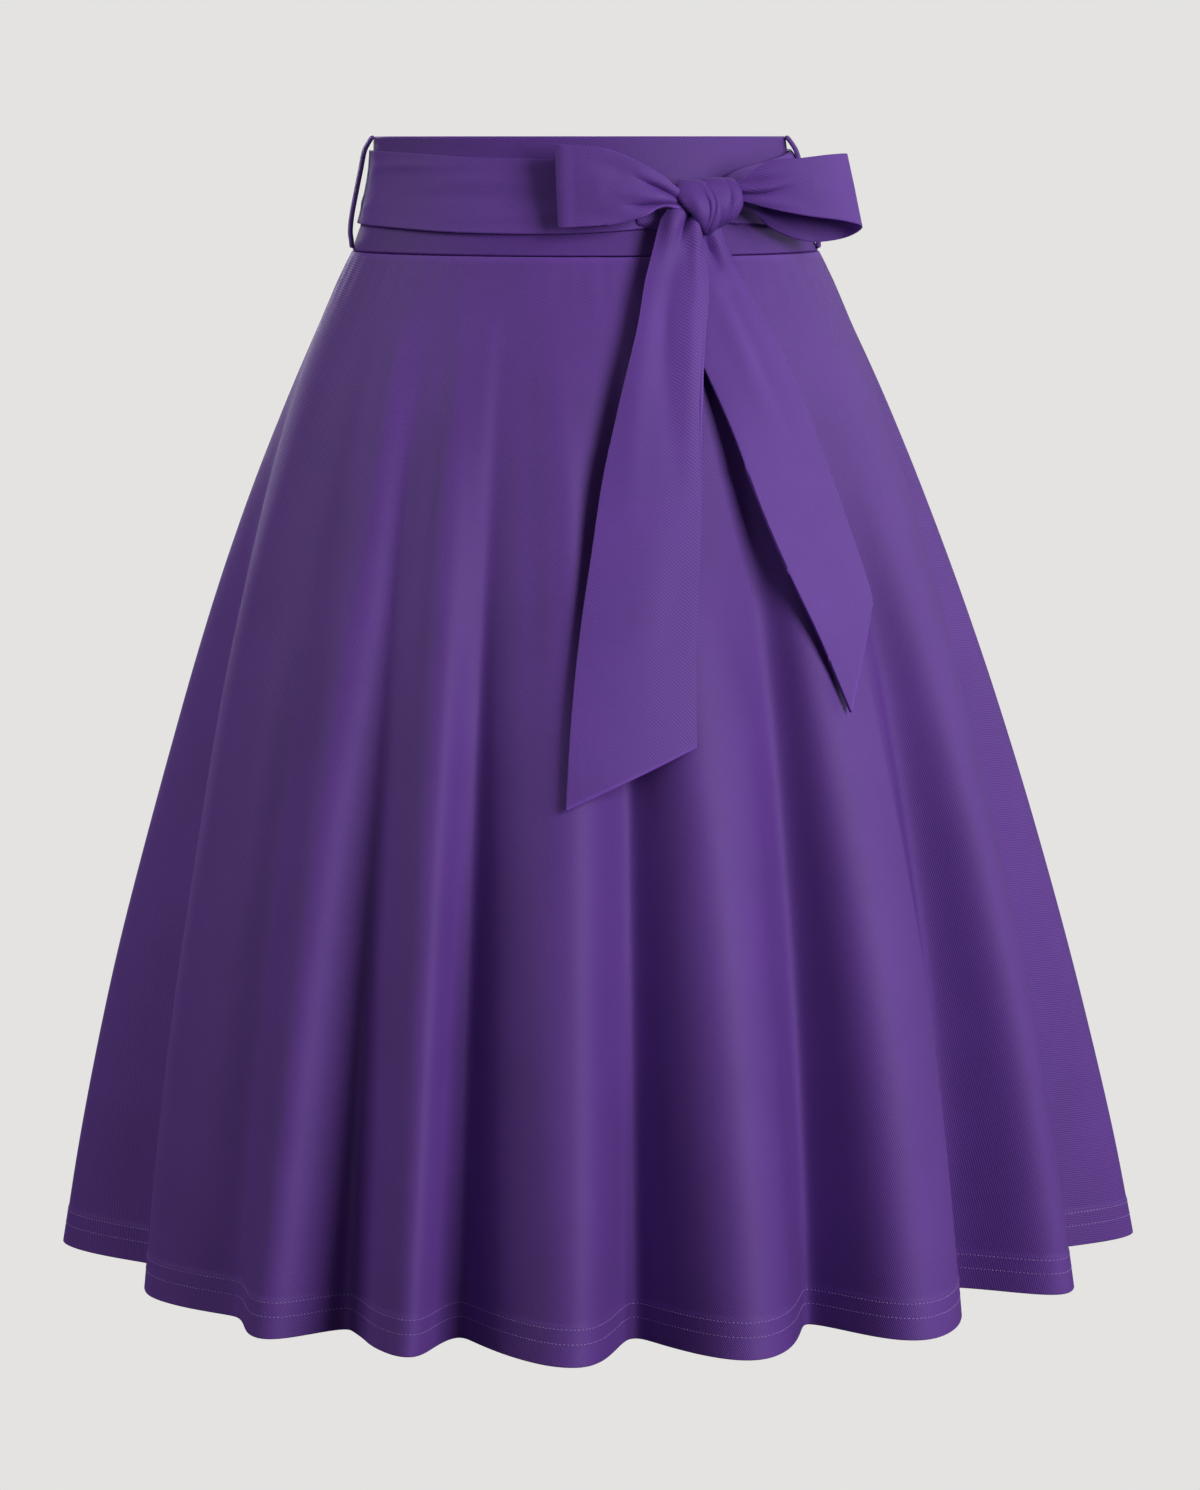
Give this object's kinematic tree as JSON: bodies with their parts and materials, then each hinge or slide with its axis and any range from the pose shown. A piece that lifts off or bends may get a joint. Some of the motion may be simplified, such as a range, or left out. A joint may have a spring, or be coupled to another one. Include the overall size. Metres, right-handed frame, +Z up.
{
  "type": "a-line skirt",
  "caption": "High-waisted flared midi skirt with a wide waistband, belt loops and a sash tied in a bow, filled out as worn.",
  "frame": {"origin": "middle of the waist's top edge, where the wearer's waist holds the skirt", "axes": "+Z up out of the waist, -Y the front of the skirt, +X to the right as seen from the front"},
  "size_m": [0.6592, 0.5749, 0.6721],
  "materials": {
    "skirt_cloth": "matt stretch crepe with a fine twill line and a soft sheen",
    "waistband_cloth": "the same crepe, doubled and smooth",
    "sash_cloth": "the same crepe, doubled, with pressed edges",
    "belt_loop_cloth": "the same crepe, folded to a narrow strip"
  },
  "bodies": {
    "root": {"skirt_front": "skirt_cloth", "skirt_back": "skirt_cloth", "waistband_front": "waistband_cloth", "waistband_back": "waistband_cloth", "belt_loop_left": "belt_loop_cloth", "belt_loop_right": "belt_loop_cloth", "sash_front_left": "sash_cloth", "sash_front_right": "sash_cloth", "sash_back": "sash_cloth", "bow_knot": "sash_cloth", "bow_loop_left": "sash_cloth", "bow_loop_right": "sash_cloth", "sash_tail_left": "sash_cloth", "sash_tail_right": "sash_cloth"}
  },
  "joints": []
}
